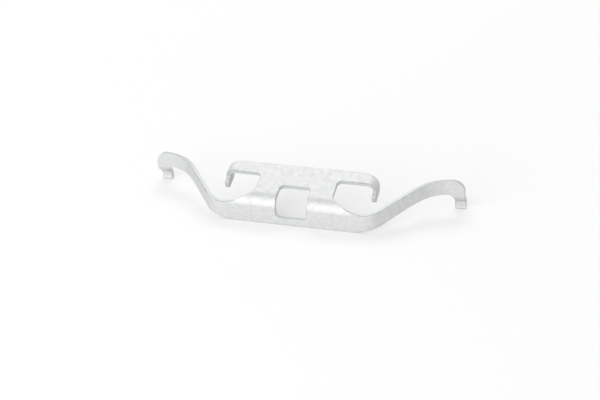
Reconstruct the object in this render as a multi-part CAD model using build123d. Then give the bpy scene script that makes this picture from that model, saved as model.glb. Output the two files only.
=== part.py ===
from build123d import *

import os
from math import cos, degrees, radians, sin

# Spring for a floating brake caliper: one piece of spring steel sheet, blanked flat and then folded.
# A front band carries a plate with a T-shaped head, folded back over a wide bend. Two long arms run
# back from the ends of the band and end in legs with joggled feet. The ends of the T are curled down
# and carry a tongue each.
#
# X is the length, +Y is towards the back and +Z is up. The spring stands on the band's lower edge
# and on both feet, and the origin is under the middle of its bounding box. Both halves are alike.
#
# The blank is drawn once, in developed coordinates on its front face: s from the middle outwards
# and h upwards from the band's lower edge. Every flat and every bend is a zone of that blank.
# Lengths across a bend are those of the front face.

# Sheet
THICKNESS = 2.0

# Front band, and the bend from the band to the plate
BAND_HALF = 35.1
BAND_HEIGHT = 9.5
PLATE_BEND = 4.5
PLATE_ANGLE = 74.0

# Neck and T-shaped head, with their distances from the end of the bend
NECK_HALF = 18.9
NECK_ROUND = 2.3
HEAD_FRONT = 13.5
HEAD_DEPTH = 7.0

# Edge that sweeps from the neck down into a valley beside the arm
SWEEP_ABOVE = 1.3
SWEEP_ROUND = 6.0
VALLEY_BEFORE = 3.8
VALLEY_BELOW = 1.1
VALLEY_ROUND = 14.0

# Window through the band, its bend and the plate
WINDOW_HALF = 7.6
WINDOW_SILL = 3.5
WINDOW_REACH = 6.9
WINDOW_ROUND = 2.3

# Curled ends of the head, each with a tongue that points to the front
HEAD_HALF = 37.3
CURL_BEND = 4.5
CURL_ANGLE = 90.0
NOTCH_BELOW = 0.7
NOTCH_ROUND = 0.5
TONGUE_LENGTH = 3.6
TONGUE_WIDTH = 3.7
TONGUE_ROUND = 0.8
HEAD_TAPER = 1.7
TAPER_BEFORE = 2.4
TAPER_PAST = 4.0
TAPER_ROUND = 8.0
HEEL_ROUND = 2.2

# Arm with its two bends. The second leaves the arm's end a little short of parallel to the band.
ARM_ANGLE = 49.8
FIRST_BEND = 9.5
ARM_RUN = 23.9
SECOND_BEND = 15.0
TOE_ANGLE = 3.0
END_RUN = 8.6

# Edges of the arm: they rise to a knee in the run and then level out towards the leg
RISE_BEFORE = 4.6
RISE_ROUND = 30.0
KNEE_BEFORE = 5.7
KNEE_LOW = 7.5
KNEE_WIDTH = 7.1
KNEE_ROUND = 50.0
END_WIDTH = 7.7
SHOULDER_ROUND = 5.5

# Leg with its joggle, and the foot below it, whose lip turns a little to the front
LEG_WIDTH = 5.3
LEG_ABOVE = 0.8
LEG_ROUND = 3.0
JOGGLE_DEPTH = 4.3
JOGGLE_ANGLE = 50.0
UPPER_JOGGLE_BEND = 2.6
LOWER_JOGGLE_BEND = 1.2
FOOT_HEIGHT = 3.7
FOOT_ROUND = 0.8
LIP_BEND = 3.0
LIP_ANGLE = 10.0
LIP_LENGTH = 1.0

# Walls that trim a bend pass both faces of the sheet by the margin and run through a point at each
# step. A side that strays less than this from square needs no wall.
TRIM_MARGIN = 0.4
TRIM_STEPS = 24
SQUARE_WITHIN = 0.001


def bend_length(radius, angle):
    """Length of a bend along its front face."""
    return radius * radians(angle)


# Places on the blank, upwards
BEND_END = BAND_HEIGHT + bend_length(PLATE_BEND, PLATE_ANGLE)
HEAD_LOW = BEND_END + HEAD_FRONT
HEAD_TOP = HEAD_LOW + HEAD_DEPTH

# Joggle of the leg: two bends of the same turn, with a run between them
JOGGLE_BENDS = UPPER_JOGGLE_BEND + LOWER_JOGGLE_BEND
JOGGLE_RUN = (JOGGLE_DEPTH - JOGGLE_BENDS * (1 - cos(radians(JOGGLE_ANGLE)))) / sin(radians(JOGGLE_ANGLE))
JOGGLE_DROP = JOGGLE_BENDS * sin(radians(JOGGLE_ANGLE)) + JOGGLE_RUN * cos(radians(JOGGLE_ANGLE))
JOGGLE_TOP = FOOT_HEIGHT + JOGGLE_DROP
UPPER_JOGGLE_END = JOGGLE_TOP - bend_length(UPPER_JOGGLE_BEND, JOGGLE_ANGLE)
LOWER_JOGGLE_START = UPPER_JOGGLE_END - JOGGLE_RUN
FOOT_START = LOWER_JOGGLE_START - bend_length(LOWER_JOGGLE_BEND, JOGGLE_ANGLE)

# Foot: its flat leaves room for the lip, whose back corner is the lowest point
LIP_DROP = (LIP_BEND + THICKNESS) * sin(radians(LIP_ANGLE)) + LIP_LENGTH * cos(radians(LIP_ANGLE))
FOOT_END = FOOT_START - (FOOT_HEIGHT - LIP_DROP)
LIP_START = FOOT_END - bend_length(LIP_BEND, LIP_ANGLE)
FOOT_EDGE = LIP_START - LIP_LENGTH

# Places on the blank at the arm's end, upwards
ARM_LOW = JOGGLE_TOP + LEG_ABOVE
ARM_TOP = ARM_LOW + END_WIDTH

# Places on the blank, outwards along the arm
FIRST_END = BAND_HALF + bend_length(FIRST_BEND, ARM_ANGLE)
SECOND_START = FIRST_END + ARM_RUN
SECOND_END = SECOND_START + bend_length(SECOND_BEND, ARM_ANGLE - TOE_ANGLE)
LEG_OUTER = SECOND_END + END_RUN
LEG_INNER = LEG_OUTER - LEG_WIDTH
KNEE = SECOND_START - KNEE_BEFORE

# Places on the blank, outwards along the head
CURL_START = HEAD_HALF - CURL_BEND
CURL_END = CURL_START + bend_length(CURL_BEND, CURL_ANGLE)
NOTCH = CURL_END + NOTCH_BELOW
HOOK_EDGE = NOTCH + TONGUE_WIDTH


def half_outline():
    """Outline of the right half of the blank, from the band's middle round to the head's middle."""
    corners = [
        (BAND_HALF - RISE_BEFORE, 0, RISE_ROUND),
        (KNEE, KNEE_LOW, KNEE_ROUND),
        (LEG_INNER, ARM_LOW, LEG_ROUND),
        (LEG_INNER, FOOT_EDGE, FOOT_ROUND),
        (LEG_OUTER, FOOT_EDGE, FOOT_ROUND),
        (LEG_OUTER, ARM_TOP, SHOULDER_ROUND),
        (KNEE, KNEE_LOW + KNEE_WIDTH, KNEE_ROUND),
        (BAND_HALF - VALLEY_BEFORE, BAND_HEIGHT - VALLEY_BELOW, VALLEY_ROUND),
        (NECK_HALF, BEND_END + SWEEP_ABOVE, SWEEP_ROUND),
        (NECK_HALF, HEAD_LOW, NECK_ROUND),
        (NOTCH, HEAD_LOW, NOTCH_ROUND),
        (NOTCH, HEAD_LOW - TONGUE_LENGTH, TONGUE_ROUND),
        (HOOK_EDGE, HEAD_LOW - TONGUE_LENGTH, TONGUE_ROUND),
        (HOOK_EDGE, HEAD_TOP - HEAD_TAPER, HEEL_ROUND),
        (CURL_START + TAPER_PAST, HEAD_TOP - HEAD_TAPER, TAPER_ROUND),
        (CURL_START - TAPER_BEFORE, HEAD_TOP, TAPER_ROUND),
    ]
    points = [(0, 0)] + [(s, h) for s, h, _ in corners] + [(0, HEAD_TOP)]
    return FilletPolyline(*points, radius=[round_off for *_, round_off in corners])


def valley_bottom(outline):
    """How far out the valley beside the neck is deepest, where the bend to the plate runs out."""
    corner = (BAND_HALF - VALLEY_BEFORE, BAND_HEIGHT - VALLEY_BELOW)
    return outline.edges().filter_by(GeomType.CIRCLE).sort_by_distance(corner)[0].arc_center.X


def half_blank(outline):
    """Right half of the blank as a flat face, with its half of the window."""
    sheet = make_face([outline, Line(outline @ 1, outline @ 0)])
    window_top = BEND_END + WINDOW_REACH
    window = RectangleRounded(2 * WINDOW_HALF, window_top - WINDOW_SILL, WINDOW_ROUND)
    return sheet - Pos(0, (window_top + WINDOW_SILL) / 2) * window


def zone(blank, low, high):
    """The part of the blank between two developed corners."""
    size = (high[0] - low[0], high[1] - low[1])
    return blank & Pos((low[0] + high[0]) / 2, (low[1] + high[1]) / 2) * Rectangle(*size)


def flat(plane, face):
    """A flat of the sheet from its zone, on a plane that holds the blank in its own x and y."""
    return extrude(plane * face, amount=THICKNESS, dir=-plane.z_dir)


class Bend:
    """A bend that starts on a flat of the sheet, whose plane holds the blank in its own x and y.

    The radius is that of the front face, and below zero where the front face is the hollow one.
    A level bend has its fold line along s, and an upright one has it along h.
    """

    def __init__(self, plane, start, end, radius, level=False):
        self.plane = plane
        self.start = start
        self.end = end
        self.radius = radius
        self.level = level
        self.fold_line = plane.x_dir if level else plane.y_dir

    def point(self, across, along, behind):
        """Where a point of the blank lies, so far behind the front face."""
        turned = (across - self.start) / self.radius
        reach = self.radius - behind
        shifted = self.start + reach * sin(turned)
        rise = reach * cos(turned) - self.radius
        local = (along, shifted, rise) if self.level else (shifted, along, rise)
        return self.plane.from_local_coords(local)

    def next_plane(self):
        """The plane of the flat past the bend, which again holds the blank in its own x and y."""
        turn = degrees((self.end - self.start) / self.radius)
        turned = self.plane.moved(Rotation(-turn, 0, 0) if self.level else Rotation(0, turn, 0))
        across = turned.y_dir if self.level else turned.x_dir
        origin = self.point(self.end, 0, 0) - across * self.end
        return Plane(origin=origin, x_dir=turned.x_dir, z_dir=turned.z_dir)

    def ring(self, low, high):
        """The full curved sheet between two places along the fold line."""
        stations = (self.start, (self.start + self.end) / 2, self.end)
        front = ThreePointArc(*[self.point(across, low, 0) for across in stations])
        back = ThreePointArc(*[self.point(across, low, THICKNESS) for across in stations])
        section = make_face([front, back, Line(front @ 0, back @ 0), Line(front @ 1, back @ 1)])
        return extrude(section, amount=high - low, dir=self.fold_line)

    def sides(self, blank, low, high):
        """Where the blank begins and ends along the fold line, at even steps across the bend."""
        sides = ([], [])
        for step in range(TRIM_STEPS + 1):
            across = self.start + (self.end - self.start) * step / TRIM_STEPS
            line = Line((low, across), (high, across)) if self.level else Line((across, low), (across, high))
            met = [point.X if self.level else point.Y for point in (blank & line).vertices()]
            sides[0].append((across, min(met)))
            sides[1].append((across, max(met)))
        return sides

    def beyond(self, side, outwards, reach):
        """What lies past one side of the zone, out to the reach, with a wall square to the sheet."""
        rails = []
        for behind in (-TRIM_MARGIN, THICKNESS + TRIM_MARGIN):
            places = [self.point(across, along, behind) for across, along in side]
            rails.append(Edge.make_spline(places, parameters=[float(step) for step in range(len(places))]))
        wall = Face.make_surface_from_curves(*rails)
        return extrude(wall, amount=reach, dir=self.fold_line * outwards)

    def solid(self, blank, low, high):
        """The bend's zone of the blank, between two places along its fold line, curved round it."""
        ends = []
        walls = []
        for side, outwards in zip(self.sides(blank, low, high), (-1, 1)):
            reached = [along * outwards for _, along in side]
            trimmed = max(reached) - min(reached) > SQUARE_WITHIN
            ends.append(outwards * (max(reached) + trimmed * TRIM_MARGIN))
            if trimmed:
                walls.append(self.beyond(side, outwards, high - low))
        sheet = self.ring(*ends)
        for wall in walls:
            sheet -= wall
        return sheet


def head(blank, front, valley):
    """The bend from the band to the plate, the plate and the curled end with its tongue."""
    bend = Bend(front, BAND_HEIGHT, BEND_END, PLATE_BEND, level=True)
    top = bend.next_plane()
    curl = Bend(top, CURL_START, CURL_END, CURL_BEND)
    return [
        bend.solid(blank, 0, valley),
        flat(top, zone(blank, (0, BEND_END), (CURL_START, HEAD_TOP))),
        curl.solid(blank, BEND_END, HEAD_TOP),
        flat(curl.next_plane(), zone(blank, (CURL_END, BEND_END), (HOOK_EDGE, HEAD_TOP))),
    ]


def band(blank, front, valley):
    """The flat front, up to the bend of the plate and out to the bend of the arm."""
    return [
        flat(front, zone(blank, (0, 0), (valley, BAND_HEIGHT))),
        flat(front, zone(blank, (valley, 0), (BAND_HALF, ARM_TOP))),
    ]


def arm(blank, front):
    """The arm with its two bends, its flat end, and the joggled leg with its foot and lip."""
    first = Bend(front, BAND_HALF, FIRST_END, FIRST_BEND)
    run = first.next_plane()
    second = Bend(run, SECOND_START, SECOND_END, -SECOND_BEND)
    end = second.next_plane()
    upper = Bend(end, JOGGLE_TOP, UPPER_JOGGLE_END, UPPER_JOGGLE_BEND, level=True)
    slope = upper.next_plane()
    lower = Bend(slope, LOWER_JOGGLE_START, FOOT_START, -LOWER_JOGGLE_BEND, level=True)
    foot = lower.next_plane()
    lip = Bend(foot, FOOT_END, LIP_START, -LIP_BEND, level=True)
    return [
        first.solid(blank, 0, ARM_TOP),
        flat(run, zone(blank, (FIRST_END, 0), (SECOND_START, ARM_TOP))),
        second.solid(blank, 0, ARM_TOP),
        flat(end, zone(blank, (SECOND_END, JOGGLE_TOP), (LEG_OUTER, ARM_TOP))),
        upper.solid(blank, SECOND_END, LEG_OUTER),
        flat(slope, zone(blank, (LEG_INNER, LOWER_JOGGLE_START), (LEG_OUTER, UPPER_JOGGLE_END))),
        lower.solid(blank, LEG_INNER, LEG_OUTER),
        flat(foot, zone(blank, (LEG_INNER, FOOT_END), (LEG_OUTER, FOOT_START))),
        lip.solid(blank, LEG_INNER, LEG_OUTER),
        flat(lip.next_plane(), zone(blank, (LEG_INNER, FOOT_EDGE), (LEG_OUTER, LIP_START))),
    ]


def spring():
    """The whole folded sheet."""
    outline = half_outline()
    blank = half_blank(outline)
    valley = valley_bottom(outline)
    front = Plane(origin=(0, 0, 0), x_dir=(1, 0, 0), z_dir=(0, -1, 0))
    zones = band(blank, front, valley) + head(blank, front, valley) + arm(blank, front)
    half = zones[0].fuse(*zones[1:])
    whole = half + mirror(half, about=Plane.YZ)
    return Pos(0, -whole.bounding_box().center().Y, 0) * whole


os.makedirs("parts", exist_ok=True)
whole = spring()
print("solids", len(whole.solids()), "volume", whole.volume, "size", whole.bounding_box().size)
export_step(whole, "parts/spring.step")
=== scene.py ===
"""Scene of a brake caliper spring on a white studio table.

The spring is one sheet of zinc-plated spring steel. Its visual mesh is worked out from the flat blank:
the blank's outline is drawn with rounded corners, its cut edge gets the small rounds that tumbling
leaves, and one folding formula carries every point round the bends.
"""

from __future__ import annotations

import logging
import math
from dataclasses import dataclass

import bpy
import numpy as np
from mathutils import Matrix, Vector
from mathutils.geometry import delaunay_2d_cdt

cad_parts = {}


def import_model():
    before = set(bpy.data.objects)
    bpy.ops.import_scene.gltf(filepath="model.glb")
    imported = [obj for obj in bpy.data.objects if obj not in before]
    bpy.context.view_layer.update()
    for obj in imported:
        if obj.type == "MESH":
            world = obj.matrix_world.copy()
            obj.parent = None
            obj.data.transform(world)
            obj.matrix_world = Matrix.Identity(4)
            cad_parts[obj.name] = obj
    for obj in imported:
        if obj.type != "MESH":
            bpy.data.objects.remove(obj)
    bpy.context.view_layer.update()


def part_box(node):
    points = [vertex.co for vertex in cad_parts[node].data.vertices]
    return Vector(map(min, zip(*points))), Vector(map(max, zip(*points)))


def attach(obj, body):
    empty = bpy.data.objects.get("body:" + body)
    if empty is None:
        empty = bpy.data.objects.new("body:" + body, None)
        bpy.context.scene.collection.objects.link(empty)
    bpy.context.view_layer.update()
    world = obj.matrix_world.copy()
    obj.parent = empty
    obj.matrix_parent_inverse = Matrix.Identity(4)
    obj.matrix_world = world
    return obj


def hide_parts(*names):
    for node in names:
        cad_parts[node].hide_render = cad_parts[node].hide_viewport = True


LOG = logging.getLogger("caliper_spring")
MM = 0.001
STATIONS = 1025  # places along a bend at which its turn is summed up
CHUNKS = 32  # parts in which points are tested against the outline, to save memory
MERGE = 1e-7  # distance in mm below which the triangulation would merge points
FILL_HULL = 0  # the triangulation's way of filling the points' convex hull
# The Mix node's sockets for colours, whose names its sockets for numbers share.
COLOUR_A, COLOUR_B, COLOUR_OUT = 6, 7, 2


def linear(hex_colour: str) -> tuple[float, float, float, float]:
    """Turn an sRGB hex colour into the linear RGBA that Blender's sockets take.

    Args:
        hex_colour: six hex digits, with or without a leading #.

    Returns:
        Red, green, blue and an alpha of 1.
    """
    digits = hex_colour.lstrip("#")
    channels = np.array([int(digits[i : i + 2], 16) for i in (0, 2, 4)]) / 255
    low = channels / 12.92
    high = ((channels + 0.055) / 1.055) ** 2.4
    return (*np.where(channels <= 0.04045, low, high).tolist(), 1.0)


def add_node(
    tree: bpy.types.NodeTree, kind: str, settings: dict | None = None, links: dict | None = None
) -> bpy.types.Node:
    """Add a node with its settings and its incoming links.

    Args:
        tree: the node tree that gets the node.
        kind: Blender's name of the node type.
        settings: node attributes by name, or socket values by socket name or index.
        links: output sockets by the name or index of the input that they feed.

    Returns:
        The new node.
    """
    node = tree.nodes.new(kind)
    for name, value in (settings or {}).items():
        if isinstance(name, str) and hasattr(node, name):
            setattr(node, name, value)
        else:
            node.inputs[name].default_value = value
    for name, socket in (links or {}).items():
        tree.links.new(socket, node.inputs[name])
    return node


def eased(share: np.ndarray) -> np.ndarray:
    """Rise smoothly from 0 to 1: the share, kept within 0 and 1, squared and times 3 less twice itself."""
    kept = np.clip(share, 0.0, 1.0)
    return kept**2 * (3 - 2 * kept)


@dataclass(frozen=True)
class Bend:
    """A fold of the sheet, with places along the flat blank in mm.

    The radius is that of the front face, and below zero where the front face is the hollow one. The
    turn eases in and out over a short length, half of it on either side of each end.
    """

    start: float
    end: float
    radius: float
    ease: float

    def turn(self, run: np.ndarray) -> np.ndarray:
        """Angle that the sheet has turned by, at a run from the start of the bend.

        A sharp bend turns by the clipped run over the radius. The eased one turns by the mean of that
        over the ease, which is the difference of two of its sums over the ease.

        Args:
            run: distances past the start.

        Returns:
            The angles in radians.
        """
        length = self.end - self.start

        def summed(place: np.ndarray) -> np.ndarray:
            """Sum of the clipped run: half its square, and then the length for each further mm."""
            return np.clip(place, 0.0, length) ** 2 / 2 + length * np.maximum(place - length, 0.0)

        return (summed(run + self.ease / 2) - summed(run - self.ease / 2)) / (self.ease * self.radius)

    def fold(self, along: np.ndarray, proud: np.ndarray) -> tuple[np.ndarray, np.ndarray]:
        """Carry points of the flat sheet round the bend.

        The front face runs on by the cosine of the turn and drops by its sine, summed up over small
        steps. A point w proud of it goes w sin f further along and w cos f further out, at a turn f.
        The easing moves the far side by some hundredths of a mm, which is taken back evenly over the
        bend, so that the flats lie where those of a sharp arc do.

        Args:
            along: places across the fold line.
            proud: heights over the front face, below zero inside the sheet.

        Returns:
            The folded places and heights.
        """
        length, margin = self.end - self.start, self.ease / 2
        stations = np.linspace(-margin, length + margin, STATIONS)
        step = stations[1] - stations[0]
        middles = self.turn(stations[:-1] + step / 2)
        reached = np.concatenate([[0.0], np.cumsum(np.cos(middles)) * step]) + stations[0]
        dropped = np.concatenate([[0.0], np.cumsum(np.sin(middles)) * step])
        full = length / self.radius
        share = np.linspace(0.0, 1.0, STATIONS)
        reached += share * (self.radius * math.sin(full) + margin * math.cos(full) - reached[-1])
        dropped += share * (self.radius * (1 - math.cos(full)) + margin * math.sin(full) - dropped[-1])
        run = along - self.start
        angle = self.turn(run)
        before, rest = np.minimum(run - stations[0], 0.0), np.maximum(run - stations[-1], 0.0)
        folded = self.start + np.interp(run, stations, reached) + before + rest * np.cos(angle)
        lowered = np.interp(run, stations, dropped) + rest * np.sin(angle)
        return folded + proud * np.sin(angle), proud * np.cos(angle) - lowered


@dataclass(frozen=True)
class RoundedLoop:
    """A closed outline of straight runs with a rounded corner at each of its points.

    Each corner has its place and its radius. An arc gets a few points however small it is.
    """

    corners: tuple[tuple[float, float, float], ...]
    step: float
    least: int = 4

    def points(self) -> tuple[np.ndarray, np.ndarray]:
        """Sample the outline at even steps, run by run and arc by arc.

        A corner of radius r whose runs turn by t is cut back by r tan(t / 2) on both runs. Its arc is
        the run's end carried round the centre, which lies r to the side that the outline turns to.

        Returns:
            The points, and at each the unit normal to the left of the way round.
        """
        table = np.array(self.corners)
        places, radii = table[:, :2], table[:, 2]
        ways = np.roll(places, -1, axis=0) - places
        ways /= np.linalg.norm(ways, axis=1, keepdims=True)
        before = np.roll(ways, 1, axis=0)
        turn = np.arctan2(before[:, 0] * ways[:, 1] - before[:, 1] * ways[:, 0], (before * ways).sum(axis=1))
        cut = radii * np.tan(np.abs(turn) / 2)
        enters = places - before * cut[:, None]
        leaves = places + ways * cut[:, None]
        found, normals = [], []
        for index, (enter, leave) in enumerate(zip(enters, leaves)):
            left = np.array([-before[index, 1], before[index, 0]])
            side = np.sign(turn[index])
            centre = enter + left * side * radii[index]
            count = max(self.least, math.ceil(abs(turn[index]) * radii[index] / self.step))
            angles = turn[index] * np.arange(count) / count
            spin = np.stack([np.cos(angles), -np.sin(angles), np.sin(angles), np.cos(angles)], axis=1)
            arc = np.einsum("nij,j->ni", spin.reshape(-1, 2, 2), left)
            found.append(centre - arc * side * radii[index])
            normals.append(arc)
            run = np.roll(enters, -1, axis=0)[index] - leave
            count = max(1, math.ceil(np.linalg.norm(run) / self.step))
            found.append(leave + run * (np.arange(count) / count)[:, None])
            normals.append(np.repeat([[-ways[index, 1], ways[index, 0]]], count, axis=0))
        return np.concatenate(found), np.concatenate(normals)


@dataclass(frozen=True)
class Blank:
    """The flat blank in mm, outwards from its middle and upwards from the band's lower edge.

    A value that ends in ease is the length over which a bend's turn sets in and ends. Most that end in
    share say how strongly shade is painted on; those for the sill and the arms' ends say how much of
    the dark edge line, partly wear and partly painted shade, is left out.
    """

    # Band, neck, plate and head.
    thickness: float = 2.0
    band_half: float = 35.1
    band_height: float = 9.5
    neck_half: float = 18.9
    neck_round: float = 2.3
    head_half: float = 37.3
    head_front: float = 13.5
    head_depth: float = 7.0
    plate_radius: float = 4.5
    plate_angle: float = 74.0
    # The edge's sweep from the neck down into the valley beside the arm, and the window.
    sweep_above: float = 1.3
    sweep_round: float = 6.0
    valley_before: float = 3.8
    valley_below: float = 1.1
    valley_round: float = 14.0
    window_half: float = 7.6
    window_sill: float = 3.5
    window_reach: float = 6.9
    window_round: float = 2.3
    # The head's curled ends with their tongues and their tapered heels.
    curl_radius: float = 4.5
    curl_angle: float = 90.0
    notch_below: float = 0.7
    notch_round: float = 0.5
    tongue_length: float = 3.6
    tongue_width: float = 3.7
    tongue_round: float = 0.8
    head_taper: float = 1.7
    taper_before: float = 2.4
    taper_past: float = 4.0
    taper_round: float = 8.0
    heel_round: float = 2.2
    # The arms' two bends and the run between them, and their edges, which rise to the knee.
    arm_angle: float = 49.8
    toe_angle: float = 3.0
    first_radius: float = 9.5
    arm_run: float = 23.9
    second_radius: float = 15.0
    end_run: float = 8.6
    rise_before: float = 4.6
    rise_round: float = 30.0
    knee_before: float = 5.7
    knee_low: float = 7.5
    knee_width: float = 7.1
    knee_round: float = 50.0
    end_width: float = 7.7
    shoulder_round: float = 5.5
    # The legs with their joggles, feet and lips.
    leg_width: float = 5.3
    leg_above: float = 0.8
    leg_round: float = 3.0
    joggle_depth: float = 4.3
    joggle_angle: float = 50.0
    upper_joggle: float = 2.6
    lower_joggle: float = 1.2
    foot_height: float = 3.7
    foot_round: float = 0.8
    lip_radius: float = 3.0
    lip_angle: float = 10.0
    lip_length: float = 1.0
    # Eased bends from the making; painted shade in the curls' hollows, in the crease and towards the
    # arms' ends; a painted dark reflection where the bend to the plate ends; and the parts of the dark
    # edge line, partly wear and partly painted shade, that are left out.
    plate_ease: float = 5.2
    curl_ease: float = 1.6
    arm_ease: float = 5.0
    leg_ease: float = 0.5
    curl_shade_share: float = 0.30
    crease_shade_share: float = 0.04
    dark_reflection_share: float = 0.42
    dark_reflection_reach: float = 1.9
    end_face_shade_share: float = 0.12
    end_wall_shade_share: float = 0.33
    sill_line_share: float = 0.7
    end_line_share: float = 0.75
    # Distance between points along the outlines.
    step: float = 0.4

    @property
    def plate_bend(self) -> Bend:
        """The bend from the band to the plate."""
        length = self.plate_radius * math.radians(self.plate_angle)
        return Bend(self.band_height, self.band_height + length, self.plate_radius, self.plate_ease)

    @property
    def curl(self) -> Bend:
        """The bend that curls an end of the head down.

        Returns:
            The bend, with places outwards, whose start leaves the folded end at the head's half width.
        """
        start = self.head_half - self.curl_radius
        end = start + self.curl_radius * math.radians(self.curl_angle)
        return Bend(start, end, self.curl_radius, self.curl_ease)

    @property
    def first_bend(self) -> Bend:
        """The bend from the band to the arm."""
        length = self.first_radius * math.radians(self.arm_angle)
        return Bend(self.band_half, self.band_half + length, self.first_radius, self.arm_ease)

    @property
    def second_bend(self) -> Bend:
        """The bend that turns the arm's end almost parallel to the band again.

        Returns:
            The bend, with places outwards, one arm's run past the first.
        """
        start = self.first_bend.end + self.arm_run
        length = self.second_radius * math.radians(self.arm_angle - self.toe_angle)
        return Bend(start, start + length, -self.second_radius, self.arm_ease)

    @property
    def joggle(self) -> tuple[Bend, Bend]:
        """The joggle's two bends.

        With radii that add up to r and a turn t, the bends go r (1 - cos t) of the joggle's depth and
        r sin t of its height. The straight run between them has the rest of the depth over sin t.

        Returns:
            The upper and the lower bend, with places downwards from the band's lower edge.
        """
        turn = math.radians(self.joggle_angle)
        bends = self.upper_joggle + self.lower_joggle
        run = (self.joggle_depth - bends * (1 - math.cos(turn))) / math.sin(turn)
        top = -(self.foot_height + bends * math.sin(turn) + run * math.cos(turn))
        upper = Bend(top, top + self.upper_joggle * turn, self.upper_joggle, self.leg_ease)
        start = upper.end + run
        lower = Bend(start, start + self.lower_joggle * turn, -self.lower_joggle, self.leg_ease)
        return upper, lower

    @property
    def lip(self) -> Bend:
        """The bend from the foot to its lip.

        It starts where the foot's height leaves room for what the bend and the lip drop on the back
        face, on whose lower edge the spring stands.

        Returns:
            The bend, with places downwards from the band's lower edge.
        """
        turn = math.radians(self.lip_angle)
        drop = (self.lip_radius + self.thickness) * math.sin(turn) + self.lip_length * math.cos(turn)
        start = self.joggle[1].end + self.foot_height - drop
        return Bend(start, start + self.lip_radius * turn, -self.lip_radius, self.leg_ease)

    @property
    def foot_edge(self) -> float:
        """Lower edge of the foot's lip on the blank."""
        return -(self.lip.end + self.lip_length)

    @property
    def leg(self) -> tuple[float, float]:
        """Inner and outer side of the leg."""
        outer = self.second_bend.end + self.end_run
        return outer - self.leg_width, outer

    @property
    def head_low(self) -> float:
        """Front edge of the head on the blank."""
        return self.plate_bend.end + self.head_front

    @property
    def head_top(self) -> float:
        """Back edge of the head on the blank."""
        return self.head_low + self.head_depth

    @property
    def hook(self) -> tuple[float, float]:
        """Notch and outer edge of the head's curled end on the blank."""
        notch = self.curl.end + self.notch_below
        return notch, notch + self.tongue_width

    def outline(self) -> RoundedLoop:
        """The outline of the whole blank.

        The right half runs from the band's lower edge round the leg and back along the arm's upper edge
        to the head. The left half is its mirror image.

        Returns:
            The outline, counter-clockwise, with the sheet to its left.
        """
        inner, outer = self.leg
        arm_low = self.leg_above - self.joggle[0].start
        knee = self.second_bend.start - self.knee_before
        notch, hook = self.hook
        tongue = self.head_low - self.tongue_length
        heel = self.head_top - self.head_taper
        right = (
            (self.band_half - self.rise_before, 0.0, self.rise_round),
            (knee, self.knee_low, self.knee_round),
            (inner, arm_low, self.leg_round),
            (inner, self.foot_edge, self.foot_round),
            (outer, self.foot_edge, self.foot_round),
            (outer, arm_low + self.end_width, self.shoulder_round),
            (knee, self.knee_low + self.knee_width, self.knee_round),
            (self.band_half - self.valley_before, self.band_height - self.valley_below, self.valley_round),
            (self.neck_half, self.plate_bend.end + self.sweep_above, self.sweep_round),
            (self.neck_half, self.head_low, self.neck_round),
            (notch, self.head_low, self.notch_round),
            (notch, tongue, self.tongue_round),
            (hook, tongue, self.tongue_round),
            (hook, heel, self.heel_round),
            (self.curl.start + self.taper_past, heel, self.taper_round),
            (self.curl.start - self.taper_before, self.head_top, self.taper_round),
        )
        left = tuple((-s, h, radius) for s, h, radius in reversed(right))
        return RoundedLoop(right + left, self.step)

    def window(self) -> RoundedLoop:
        """The outline of the window through band, bend and plate.

        Returns:
            The outline, clockwise, so that the sheet lies to its left as well.
        """
        top = self.plate_bend.end + self.window_reach
        places = ((-1, self.window_sill), (-1, top), (1, top), (1, self.window_sill))
        corners = tuple((side * self.window_half, height, self.window_round) for side, height in places)
        return RoundedLoop(corners, self.step)

    def in_head(self, flat: np.ndarray) -> np.ndarray:
        """Tell which points of the blank belong to the plate and the head.

        These lie above the band, or else beside it and higher than the arms reach.

        Args:
            flat: places on the blank, outwards and upwards.

        Returns:
            True for each such point.
        """
        out, up = np.abs(flat[:, 0]), flat[:, 1]
        over_band = (up > self.band_height) & (out < self.band_half - self.rise_before)
        return over_band | (up > self.plate_bend.end + self.tongue_length)

    def in_leg(self, flat: np.ndarray) -> np.ndarray:
        """Tell which points of the blank belong to the legs and the ends of the arms above them."""
        return ~self.in_head(flat) & (np.abs(flat[:, 0]) > self.leg[0] - self.leg_round)

    def fold(self, flat: np.ndarray, depth: np.ndarray) -> np.ndarray:
        """Fold points of the blank into the spring.

        The head's points go round the curl outwards and then round the plate's bend upwards. All
        others go down the lip's bend and the joggle's where they are in the leg, and then round the arm's.

        Args:
            flat: places on the blank, outwards and upwards.
            depth: how far each lies behind the front face.

        Returns:
            Points in mm, with the band's front face at Y = 0.
        """
        side = np.where(flat[:, 0] < 0, -1.0, 1.0)
        out, up, proud = np.abs(flat[:, 0]), flat[:, 1], -depth
        in_head, in_leg = self.in_head(flat), self.in_leg(flat)
        head_out, head_proud = self.curl.fold(out, proud)
        head_up, head_proud = self.plate_bend.fold(up, head_proud)
        upper, lower = self.joggle
        down, leg_proud = self.lip.fold(-up, proud)
        down, leg_proud = lower.fold(down, leg_proud)
        down, leg_proud = upper.fold(down, leg_proud)
        arm_up = np.where(in_leg, -down, up)
        arm_proud = np.where(in_leg, leg_proud, proud)
        arm_out, arm_proud = self.second_bend.fold(out, arm_proud)
        arm_out, arm_proud = self.first_bend.fold(arm_out, arm_proud)
        x = side * np.where(in_head, head_out, arm_out)
        y = -np.where(in_head, head_proud, arm_proud)
        z = np.where(in_head, head_up, arm_up)
        return np.stack([x, y, z], axis=1)

    @staticmethod
    def streak(place: np.ndarray, middle: float, reach: float) -> np.ndarray:
        """Fade from 1 at the middle: one less the squared distance in reaches, kept within 1, squared."""
        return (1 - np.clip((place - middle) / reach, -1.0, 1.0) ** 2) ** 2

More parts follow.
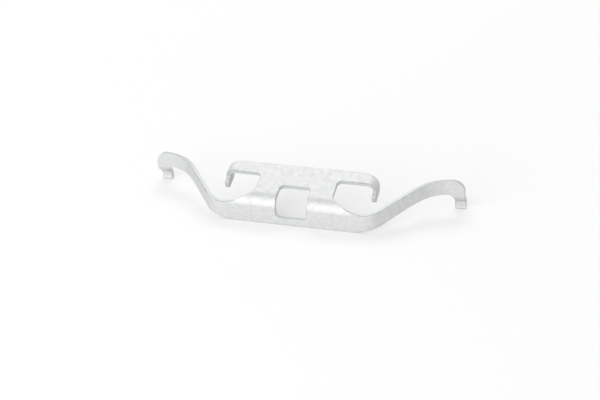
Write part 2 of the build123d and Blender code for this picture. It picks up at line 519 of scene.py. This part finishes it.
    def towards_end(self, flat: np.ndarray) -> np.ndarray:
        """How near the end of its arm each point is.

        The share rises smoothly from 0 at the middle of the arm's run to 1 one run further on, at the
        end of the second bend, and fades again over the joggle's upper bend, so that it is 0 on the foot.

        Args:
            flat: places on the blank, outwards and upwards.

        Returns:
            Shares from 0 to 1.
        """
        upper = self.joggle[0]
        along = eased((np.abs(flat[:, 0]) - self.second_bend.start) / self.arm_run + 0.5)
        in_foot = eased((-flat[:, 1] - upper.start) / (upper.end - upper.start))
        return along * (1 - in_foot) * ~self.in_head(flat)

    def painted_shade(self, flat: np.ndarray, depth: np.ndarray, cut: np.ndarray) -> np.ndarray:
        """How much shade is painted on at each point, as a darker grey.

        Shade is painted on the back of the sheet inside the curls, where the share rises smoothly over
        the bend and with the depth; it stands in for the shade under the plate. It is painted in the
        crease above the foot, on the front face, in a weak streak along the joggle's lower bend, which
        faces the shaded table. A painted dark reflection of the dark room above lies in another streak on
        the front face, where the bend to the plate ends. Towards the ends of the arms painted shade is
        added, weak on all sides and stronger on the cut walls.

        Args:
            flat: places on the blank, outwards and upwards.
            depth: how far each lies behind the front face.
            cut: shares of cut metal.

        Returns:
            Shares from 0 to 1.
        """
        behind = depth / self.thickness
        inside_curl = eased((np.abs(flat[:, 0]) - self.curl.start) / (self.curl.end - self.curl.start))
        lower = self.joggle[1]
        crease = self.crease_shade_share * self.streak(-flat[:, 1], lower.start, lower.end - lower.start)
        dark_reflection = self.dark_reflection_share * self.streak(flat[:, 1], self.plate_bend.end, self.dark_reflection_reach)
        in_front = np.where(self.in_head(flat), dark_reflection, crease * self.in_leg(flat))
        in_curl = self.curl_shade_share * inside_curl * behind * self.in_head(flat)
        ends = self.towards_end(flat) * (self.end_face_shade_share + self.end_wall_shade_share * cut)
        return in_front * (1 - behind) + in_curl + ends

    def edge_line(self, flat: np.ndarray) -> np.ndarray:
        """How much of the dark edge line shows at each point. The line is partly wear and partly painted
        shade.

        All of it does, but on the window's sill and towards the ends of the arms. On the sill a streak as
        high as the window's corners takes most of it away, and along the arms' runs it fades smoothly.

        Args:
            flat: places on the blank, outwards and upwards.

        Returns:
            Shares from 0 to 1.
        """
        on_sill = np.abs(flat[:, 0]) < self.window_half
        near_sill = on_sill * self.streak(flat[:, 1], self.window_sill, self.window_round)
        return 1 - self.sill_line_share * near_sill - self.end_line_share * self.towards_end(flat)


@dataclass(frozen=True)
class CutEdge:
    """The edge that a press leaves, tumbled: the rolled front corner, the sheared wall and the back corner.

    The section covers the rim, a border of the flat faces this wide. A narrow flat strip beside each
    round keeps the faces' shading flat. The dark line along the front corner, partly wear and partly
    painted shade, ends on the wall at the depth edge_line_depth.
    Steps is the number of steps in a round, and walls that of the points between the wall's ends. All
    lengths are in mm.
    """

    rim: float = 0.6
    front_round: float = 0.25
    back_round: float = 0.12
    strip: float = 0.06
    edge_line_depth: float = 0.45
    steps: int = 5
    walls: int = 6

    def profile(self, thickness: float) -> np.ndarray:
        """The section of the edge, from the front face round to the back face.

        A round of radius r is a quarter circle: inset r (1 - sin a), depth r (1 - cos a), and the same
        seen from the back. Between the rounds runs the straight wall. The share of the dark edge line,
        partly wear and partly painted shade, is the square root of how near the front corner is, on the
        face and down the wall. The share of cut metal is how much deeper a point lies under the nearer
        face than inside the outline, over the front round, plus a half, kept within 0 and 1: none on the
        faces, all of it on the wall.

        Args:
            thickness: thickness of the sheet.

        Returns:
            Rows of inset from the outline, depth behind the front face, share of cut metal and share of the
            edge line.
        """
        turn = np.linspace(0, math.pi / 2, self.steps + 1)
        front = [self.front_round * (1 - np.sin(turn)), self.front_round * (1 - np.cos(turn))]
        back = [self.back_round * (1 - np.cos(turn)), thickness - self.back_round * (1 - np.sin(turn))]
        strip_end = self.front_round + self.strip
        outer = [self.rim, strip_end], [self.back_round + self.strip, self.rim]
        inset = np.concatenate([outer[0], front[0], np.zeros(self.walls), back[0], outer[1]])
        wall = np.linspace(self.front_round, thickness - self.back_round, self.walls + 2)[1:-1]
        depth = np.concatenate([[0.0, 0.0], front[1], wall, back[1], [thickness, thickness]])
        cut = np.clip((np.minimum(depth, thickness - depth) - inset) / self.front_round + 1 / 2, 0, 1)
        wear_and_shade = np.sqrt(np.clip(1 - np.maximum(inset / strip_end, depth / self.edge_line_depth), 0, 1))
        return np.stack([inset, depth, cut, wear_and_shade], axis=1)


@dataclass(frozen=True)
class Pattern:
    """A noise on the plating: the size of its patches in mm, its fineness, and its relief.

    The relief is the bump's strength, and its height is that of the patches in mm.
    """

    size: float
    detail: float
    roughness: float
    relief: float
    height: float


@dataclass(frozen=True)
class Finish:
    """Zinc-plated spring steel: electroplated after folding, then tumbled, so it is matte and cloudy.

    The plating reads as a pale neutral grey with soft clouds a few millimetres wide, a fine grain and
    a few small pits. The cut walls are a little paler and rougher. Along the front corner of the edges
    runs a thin dark line, patchy like the clouds, which is partly wear, where tumbling has taken the
    zinc off the steel, and partly painted shade. Shade is painted as a darker grey in the hollows
    inside the curls, in the crease above the foot and towards the arms' ends, and a painted dark
    reflection lies where the bend to the plate ends. The zinc's salts and oxides keep the metal from
    mirroring, so it counts as metal only in part.
    """

    plate: str = "#D7D7D7"
    cloud: str = "#CECFCF"
    pit: str = "#A7AAAA"
    edge: str = "#DADDDE"
    # Painted shade in part: the grey of the dark edge line, which is partly wear.
    wear_and_shade: str = "#A2A5A6"
    # Painted shade: the darker grey in the curls' hollows, the crease, towards the arms' ends, and the
    # painted dark reflection where the bend to the plate ends.
    painted_shade_grey: str = "#B4B7B7"
    graze: str = "#D3D3D3"
    metallic: float = 0.70
    roughness: float = 0.57
    smoother: float = 0.06
    rougher: float = 0.08
    torn: float = 0.20
    clouds: Pattern = Pattern(size=2.1, detail=3.0, roughness=0.55, relief=0.45, height=0.25)
    # The real grain is a tenth of a millimetre wide. It is drawn coarser, so that it shows at all.
    grain: Pattern = Pattern(size=0.55, detail=2.0, roughness=0.6, relief=0.20, height=0.1)
    cloud_low: float = 0.36
    cloud_high: float = 0.64
    # Pits lie in cells of this size in mm, and reach from their middle to these shares of the cell.
    pit_cell: float = 5.0
    pit_core: float = 0.04
    pit_rim: float = 0.10
    pit_share: float = 0.4
    least_edge_line: float = 0.5

    def material(self) -> bpy.types.Material:
        """Build the plated steel's node tree.

        Returns:
            The material.
        """
        material = bpy.data.materials.new("zinc_plated_spring_steel")
        material.use_nodes = True
        tree = material.node_tree
        tree.nodes.clear()
        place = add_node(tree, "ShaderNodeTexCoord").outputs["Object"]
        cut, wear_and_shade, painted_shade = (
            add_node(tree, "ShaderNodeAttribute", {"attribute_name": name}).outputs["Fac"]
            for name in ("cut", "wear_and_shade", "painted_shade")
        )
        clouds, grain = (
            add_node(
                tree,
                "ShaderNodeTexNoise",
                {"Scale": 1 / (noise.size * MM), "Detail": noise.detail, "Roughness": noise.roughness},
                {"Vector": place},
            ).outputs["Fac"]
            for noise in (self.clouds, self.grain)
        )
        pits = add_node(
            tree, "ShaderNodeTexVoronoi", {"Scale": 1 / (self.pit_cell * MM)}, {"Vector": place}
        ).outputs["Distance"]
        pitted = add_node(
            tree,
            "ShaderNodeMapRange",
            {"From Min": self.pit_rim, "From Max": self.pit_core, "To Max": self.pit_share},
            {"Value": pits},
        ).outputs["Result"]
        cloudy, patchy = (
            add_node(
                tree,
                "ShaderNodeMapRange",
                {"From Min": self.cloud_low, "From Max": self.cloud_high, "To Min": least},
                {"Value": clouds},
            ).outputs["Result"]
            for least in (0.0, self.least_edge_line)
        )
        edge_line = add_node(tree, "ShaderNodeMath", {"operation": "MULTIPLY"}, {0: wear_and_shade, 1: patchy}).outputs[0]
        # To the eye: pale grey zinc with soft darker clouds, small dark pits, paler cut walls, painted shade
        # in the curls' hollows, the crease and towards the arms' ends, a painted dark reflection where the
        # bend to the plate ends, and a thin dark line along the edges, partly wear and partly painted shade.
        # Each layer lies over those before it.
        base = add_node(
            tree,
            "ShaderNodeMix",
            {"data_type": "RGBA", COLOUR_A: linear(self.plate), COLOUR_B: linear(self.cloud)},
            {0: cloudy},
        ).outputs[COLOUR_OUT]
        layers = ((pitted, self.pit), (cut, self.edge), (painted_shade, self.painted_shade_grey), (edge_line, self.wear_and_shade))
        for share, colour in layers:
            base = add_node(
                tree,
                "ShaderNodeMix",
                {"data_type": "RGBA", COLOUR_B: linear(colour)},
                {0: share, COLOUR_A: base},
            ).outputs[COLOUR_OUT]
        # To the eye: a soft sheen that breaks up with the clouds, and matte torn metal on the cut walls.
        rough = add_node(
            tree,
            "ShaderNodeMapRange",
            {"To Min": self.roughness - self.smoother, "To Max": self.roughness + self.rougher},
            {"Value": clouds},
        ).outputs["Result"]
        rough = add_node(
            tree, "ShaderNodeMath", {"operation": "MULTIPLY_ADD", 1: self.torn}, {0: cut, 2: rough}
        ).outputs[0]
        # To the eye: highlights with a slightly uneven border, from the grain and the shallow clouds.
        bump = add_node(
            tree,
            "ShaderNodeBump",
            {"Strength": self.grain.relief, "Distance": self.grain.height * MM},
            {"Height": grain},
        ).outputs["Normal"]
        bump = add_node(
            tree,
            "ShaderNodeBump",
            {"Strength": self.clouds.relief, "Distance": self.clouds.height * MM},
            {"Height": clouds, "Normal": bump},
        ).outputs["Normal"]
        # To the eye: plated metal without mirror images, whose sheen stays grey at a grazing angle.
        shader = add_node(
            tree,
            "ShaderNodeBsdfPrincipled",
            {"Metallic": self.metallic, "Specular Tint": linear(self.graze)},
            {"Base Color": base, "Roughness": rough, "Normal": bump},
        )
        add_node(tree, "ShaderNodeOutputMaterial", None, {"Surface": shader.outputs["BSDF"]})
        return material


@dataclass(frozen=True)
class FoldedSheet:
    """The spring itself: one blank with its cut edge, folded.

    The grids are distances in mm between points inside the flat faces, and in the legs. Such a point
    keeps clear of the rims by a share of the legs' grid. One tile of the UV map is uv_tile mm wide.
    """

    blank: Blank = Blank()
    edge: CutEdge = CutEdge()
    finish: Finish = Finish()
    grid: float = 0.55
    leg_grid: float = 0.25
    clear: float = 0.45
    uv_tile: float = 100.0

    def inner_points(self, rims: list[np.ndarray]) -> np.ndarray:
        """Grid points of the blank that lie well inside its flat faces.

        The grid has even rows and columns, closer together in the legs, whose bends are tight. Points
        outside the rims or too near them are left out.

        Args:
            rims: the flat faces' rims, each a closed loop of points.

        Returns:
            The points inside.
        """
        inner, outer = self.blank.leg
        low = -self.blank.joggle[0].start
        wide = self.rows(0.0, outer, 0.0, self.blank.head_top, self.grid)
        fine = self.rows(inner, outer, self.blank.foot_edge, low, self.leg_grid)
        wide = wide[~((wide[:, 0] > inner) & (wide[:, 1] < low + self.grid / 2))]
        half = np.concatenate([wide, fine])
        points = np.concatenate([half, half[half[:, 0] > 0] * [-1, 1]])
        points = points[inside(points, rims)]
        border = np.concatenate(rims)
        gaps = [
            np.linalg.norm(chunk[:, None] - border[None], axis=2).min(axis=1)
            for chunk in np.array_split(points, CHUNKS)
        ]
        return points[np.concatenate(gaps) > self.clear * self.leg_grid]

    @staticmethod
    def rows(low_s: float, high_s: float, low_h: float, high_h: float, step: float) -> np.ndarray:
        """Even rows and columns over a rectangle of the blank.

        Args:
            low_s: left side.
            high_s: right side.
            low_h: lower side.
            high_h: upper side.
            step: greatest distance between rows and between columns.

        Returns:
            The points.
        """
        across = np.linspace(low_s, high_s, math.ceil((high_s - low_s) / step) + 1)
        up = np.linspace(low_h, high_h, math.ceil((high_h - low_h) / step) + 1)
        return np.stack(np.meshgrid(across, up), axis=-1).reshape(-1, 2)

    def mesh(self, front: float) -> bpy.types.Mesh:
        """Work out the folded mesh.

        Front and back share one triangulation of the blank inside its rims. Round each rim the cut
        edge's section is carried along the outline: a point is the outline's point moved inwards by
        the section's inset, at the section's depth. The blank's fold places every point.

        Args:
            front: where the band's front face lies along Y, in mm.

        Returns:
            The mesh in metres, with the UV map blank and three attributes: the share of cut metal, that of
            the dark edge line, partly wear and partly painted shade, and that of the painted shade.
        """
        profile = self.edge.profile(self.blank.thickness)
        loops = [self.blank.outline().points(), self.blank.window().points()]
        rims = [points + normals * self.edge.rim for points, normals in loops]
        flat = np.concatenate([*rims, self.inner_points(rims)])
        triangles = self.triangles(flat, rims)
        count = len(flat)
        places = [flat, flat]
        marks = [np.array([[0.0, 0.0, 0.0]] * count + [[self.blank.thickness, 0.0, 0.0]] * count)]
        faces = [*triangles.tolist(), *(triangles[:, ::-1] + count).tolist()]
        used, first = 2 * count, 0
        for points, normals in loops:
            around = len(points)
            added = (len(profile) - 2) * around
            rings = np.empty((len(profile), around), int)
            rings[0] = first + np.arange(around)
            rings[-1] = rings[0] + count
            rings[1:-1] = used + np.arange(added).reshape(-1, around)
            middle = points[None] + normals[None] * profile[1:-1, 0, None, None]
            places.append(middle.reshape(-1, 2))
            marks.append(np.repeat(profile[1:-1, 1:], around, axis=0))
            ahead = np.roll(rings, -1, axis=1)
            quads = np.stack([rings[:-1], rings[1:], ahead[1:], ahead[:-1]], axis=-1).reshape(-1, 4)
            faces += quads.tolist()
            used += added
            first += around
        flat, marks = np.concatenate(places), np.concatenate(marks)
        folded = self.blank.fold(flat, marks[:, 0]) + [0.0, front, 0.0]
        mesh = bpy.data.meshes.new("folded_sheet")
        mesh.from_pydata((folded * MM).tolist(), [], faces)
        # The dark edge line, partly wear and partly painted shade, and the painted shade and dark
        # reflection.
        wear_and_shade = marks[:, 2] * self.blank.edge_line(flat)
        painted_shade = self.blank.painted_shade(flat, marks[:, 0], marks[:, 1])
        for name, values in (("cut", marks[:, 1]), ("wear_and_shade", wear_and_shade), ("painted_shade", painted_shade)):
            mesh.attributes.new(name, "FLOAT", "POINT").data.foreach_set("value", values.astype(np.float32))
        corner = np.empty(len(mesh.loops), np.int32)
        mesh.loops.foreach_get("vertex_index", corner)
        uv = (flat[corner] / self.uv_tile).astype(np.float32)
        mesh.uv_layers.new(name="blank").data.foreach_set("uv", uv.ravel())
        mesh.shade_smooth()
        mesh.update()
        return mesh

    @staticmethod
    def triangles(flat: np.ndarray, rims: list[np.ndarray]) -> np.ndarray:
        """Triangulate the blank inside its rims.

        The points' convex hull is filled with triangles that keep the rims as edges. A triangle whose
        middle lies outside the rims is dropped.

        Args:
            flat: the rims' points, loop after loop, and then the inner ones.
            rims: the rims, each a closed loop of points.

        Returns:
            Triangles whose corners run counter-clockwise on the blank.
        """
        edges, first = [], 0
        for rim in rims:
            index = first + np.arange(len(rim))
            edges += np.stack([index, np.roll(index, -1)], axis=1).tolist()
            first += len(rim)
        places = [Vector(place) for place in flat.tolist()]
        points, _, found, origin, _, _ = delaunay_2d_cdt(places, edges, [], FILL_HULL, MERGE)
        if len(points) != len(flat):
            raise ValueError("the triangulation merged or added points")
        source = np.array([ids[0] for ids in origin])
        triangles = source[np.array(found)]
        return triangles[inside(flat[triangles].mean(axis=1), rims)]

    def build(self, front: float) -> bpy.types.Object:
        """Make the spring's object, dress it and let it stand for the CAD node.

        Args:
            front: where the band's front face lies along Y, in mm.

        Returns:
            The object.
        """
        piece = bpy.data.objects.new("folded_sheet", self.mesh(front))
        bpy.context.scene.collection.objects.link(piece)
        piece.data.materials.append(self.finish.material())
        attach(piece, "root")
        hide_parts("spring")
        return piece


def inside(points: np.ndarray, rims: list[np.ndarray]) -> np.ndarray:
    """Tell which points lie inside closed loops.

    A point is inside where a level ray to its right crosses the loops' edges an odd number of times.

    Args:
        points: the points to test.
        rims: the loops, each a closed row of points.

    Returns:
        True for each point inside.
    """
    starts = np.concatenate(rims)
    ends = np.concatenate([np.roll(rim, -1, axis=0) for rim in rims])
    rise = np.where(ends[:, 1] == starts[:, 1], 1.0, ends[:, 1] - starts[:, 1])
    found = []
    for chunk in np.array_split(points, CHUNKS):
        x, y = chunk[:, 0, None], chunk[:, 1, None]
        spans = (starts[None, :, 1] > y) != (ends[None, :, 1] > y)
        crossing = starts[:, 0] + (y - starts[:, 1]) * (ends[:, 0] - starts[:, 0]) / rise
        found.append((spans & (x < crossing)).sum(axis=1) % 2 == 1)
    return np.concatenate(found)


@dataclass(frozen=True)
class Softbox:
    """A rectangular area lamp, with lengths in metres and its power in watts."""

    name: str
    place: tuple[float, float, float]
    width: float
    height: float
    power: float

    def build(self, target: Vector) -> None:
        """Make the lamp.

        Args:
            target: the point that it faces.
        """
        lamp = bpy.data.lights.new(self.name, "AREA")
        lamp.shape = "RECTANGLE"
        lamp.size = self.width
        lamp.size_y = self.height
        lamp.energy = self.power
        piece = bpy.data.objects.new(self.name, lamp)
        bpy.context.scene.collection.objects.link(piece)
        piece.location = self.place
        piece.rotation_euler = (target - piece.location).to_track_quat("-Z", "Y").to_euler()


@dataclass(frozen=True)
class Studio:
    """A white table with soft light from the front and above, with lengths in metres.

    The table glows white to the camera, in reflections and through glass by a share of its own, which
    makes its shadows as light as those on a lit studio table. The fill is the strength of the world's
    even light. The lamps face a point at the height aim over the middle of the table.
    """

    table: str = "#F8F8F8"
    table_roughness: float = 0.9
    table_gloss: float = 0.1
    glow: float = 0.25
    table_size: float = 2.2
    fill: float = 0.74
    aim: float = 0.01
    boxes: tuple[Softbox, ...] = (
        Softbox("low_front_softbox", (-0.46, -1.04, 0.24), width=1.3, height=0.48, power=5.4),
        Softbox("front_softbox", (-0.29, -0.85, 0.75), width=1.0, height=0.70, power=2.2),
        Softbox("back_softbox", (-0.2, 0.87, 1.02), width=1.2, height=0.6, power=4.4),
    )

    def build(self) -> None:
        """Make the table, the lamps and the world."""
        self.lay_table()
        for box in self.boxes:
            box.build(Vector((0.0, 0.0, self.aim)))
        self.light_world()

    def lay_table(self) -> None:
        """Make the table top, a level square at the height on which the spring stands."""
        half = self.table_size / 2
        corners = np.array([(-1, -1, 0), (1, -1, 0), (1, 1, 0), (-1, 1, 0)]) * half
        mesh = bpy.data.meshes.new("table")
        mesh.from_pydata(corners.tolist(), [], [(0, 1, 2, 3)])
        table = bpy.data.objects.new("table", mesh)
        bpy.context.scene.collection.objects.link(table)
        material = bpy.data.materials.new("white_table")
        material.use_nodes = True
        tree = material.node_tree
        tree.nodes.clear()
        # To the eye: plain matte white, with the spring's soft shadow and no reflection of it.
        paint = add_node(
            tree,
            "ShaderNodeBsdfPrincipled",
            {
                "Base Color": linear(self.table),
                "Roughness": self.table_roughness,
                "Specular IOR Level": self.table_gloss,
            },
        )
        white = add_node(tree, "ShaderNodeEmission", {"Color": (1, 1, 1, 1), "Strength": 1.0})
        share = add_node(
            tree, "ShaderNodeMath", {"operation": "MULTIPLY", 1: self.glow}, {0: self.seen(tree)}
        ).outputs[0]
        shader = add_node(
            tree,
            "ShaderNodeMixShader",
            None,
            {0: share, 1: paint.outputs["BSDF"], 2: white.outputs["Emission"]},
        )
        add_node(tree, "ShaderNodeOutputMaterial", None, {"Surface": shader.outputs["Shader"]})
        mesh.materials.append(material)

    @staticmethod
    def seen(tree: bpy.types.NodeTree) -> bpy.types.NodeSocket:
        """Add the nodes that tell whether a ray comes from the camera, a reflection or through glass.

        Args:
            tree: the node tree that gets the nodes.

        Returns:
            A socket that is 1 for such a ray and 0 for any other.
        """
        path = add_node(tree, "ShaderNodeLightPath")
        seen = path.outputs["Is Camera Ray"]
        for name in ("Is Glossy Ray", "Is Transmission Ray"):
            seen = add_node(
                tree, "ShaderNodeMath", {"operation": "MAXIMUM"}, {0: seen, 1: path.outputs[name]}
            ).outputs[0]
        return seen

    def light_world(self) -> None:
        """Light the scene evenly, and show white to the camera and in reflections."""
        world = bpy.data.worlds.new("studio")
        world.use_nodes = True
        bpy.context.scene.world = world
        tree = world.node_tree
        tree.nodes.clear()
        strength = add_node(
            tree, "ShaderNodeMapRange", {"To Min": self.fill, "To Max": 1.0}, {"Value": self.seen(tree)}
        ).outputs["Result"]
        light = add_node(tree, "ShaderNodeBackground", {"Color": (1, 1, 1, 1)}, {"Strength": strength})
        add_node(tree, "ShaderNodeOutputWorld", None, {"Surface": light.outputs["Background"]})


@dataclass(frozen=True)
class PhotoCamera:
    """The camera at the photograph's viewing angle, in degrees and mm.

    It stands to the right of the spring, looks down on it and is rolled a little. The target is a place
    measured from the middle of the band's lower edge, on its front face. Nearer than near isn't drawn.
    """

    yaw: float = 18.17
    pitch: float = 29.78
    roll: float = 3.30
    distance: float = 700.0
    lens: float = 89.04
    sensor: float = 36.0
    near: float = 10.0
    target: tuple[float, float, float] = (1.61, 10.0, 8.58)

    def build(self, front: float) -> bpy.types.Object:
        """Make the camera and set it as the scene's.

        Forward is (-sin yaw cos pitch, cos yaw cos pitch, -sin pitch), right is level, and both right
        and down are turned round forward by the roll.

        Args:
            front: where the band's front face lies along Y, in mm.

        Returns:
            The camera's object.
        """
        yaw, pitch, roll = (math.radians(angle) for angle in (self.yaw, self.pitch, self.roll))
        level = math.cos(pitch)
        forward = Vector((-math.sin(yaw) * level, math.cos(yaw) * level, -math.sin(pitch)))
        right = Vector((math.cos(yaw), math.sin(yaw), 0.0))
        down = forward.cross(right)
        turned_right = right * math.cos(roll) + down * math.sin(roll)
        turned_down = down * math.cos(roll) - right * math.sin(roll)
        axes = Matrix((turned_right, -turned_down, -forward)).transposed().to_4x4()
        place = (Vector(self.target) + Vector((0.0, front, 0.0)) - forward * self.distance) * MM
        data = bpy.data.cameras.new("photo_camera")
        data.sensor_width = self.sensor
        data.lens = self.lens
        data.clip_start = self.near * MM
        camera = bpy.data.objects.new("photo_camera", data)
        bpy.context.scene.collection.objects.link(camera)
        camera.matrix_world = Matrix.Translation(place) @ axes
        bpy.context.scene.camera = camera
        return camera


def main() -> None:
    """Build the scene in order, frame, spring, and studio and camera."""
    logging.basicConfig(level=logging.INFO, format="%(name)s: %(message)s")
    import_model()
    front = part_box("spring")[0].y / MM
    sheet = FoldedSheet().build(front)
    LOG.info("%s: %d vertices, %d faces", sheet.name, len(sheet.data.vertices), len(sheet.data.polygons))
    studio = Studio()
    studio.build()
    LOG.info("studio: table and %d lamps", len(studio.boxes))
    camera = PhotoCamera().build(front)
    LOG.info("%s: lens of %.1f mm", camera.name, camera.data.lens)
    bpy.context.scene.view_settings.view_transform = "Standard"


if __name__ == "__main__":
    main()
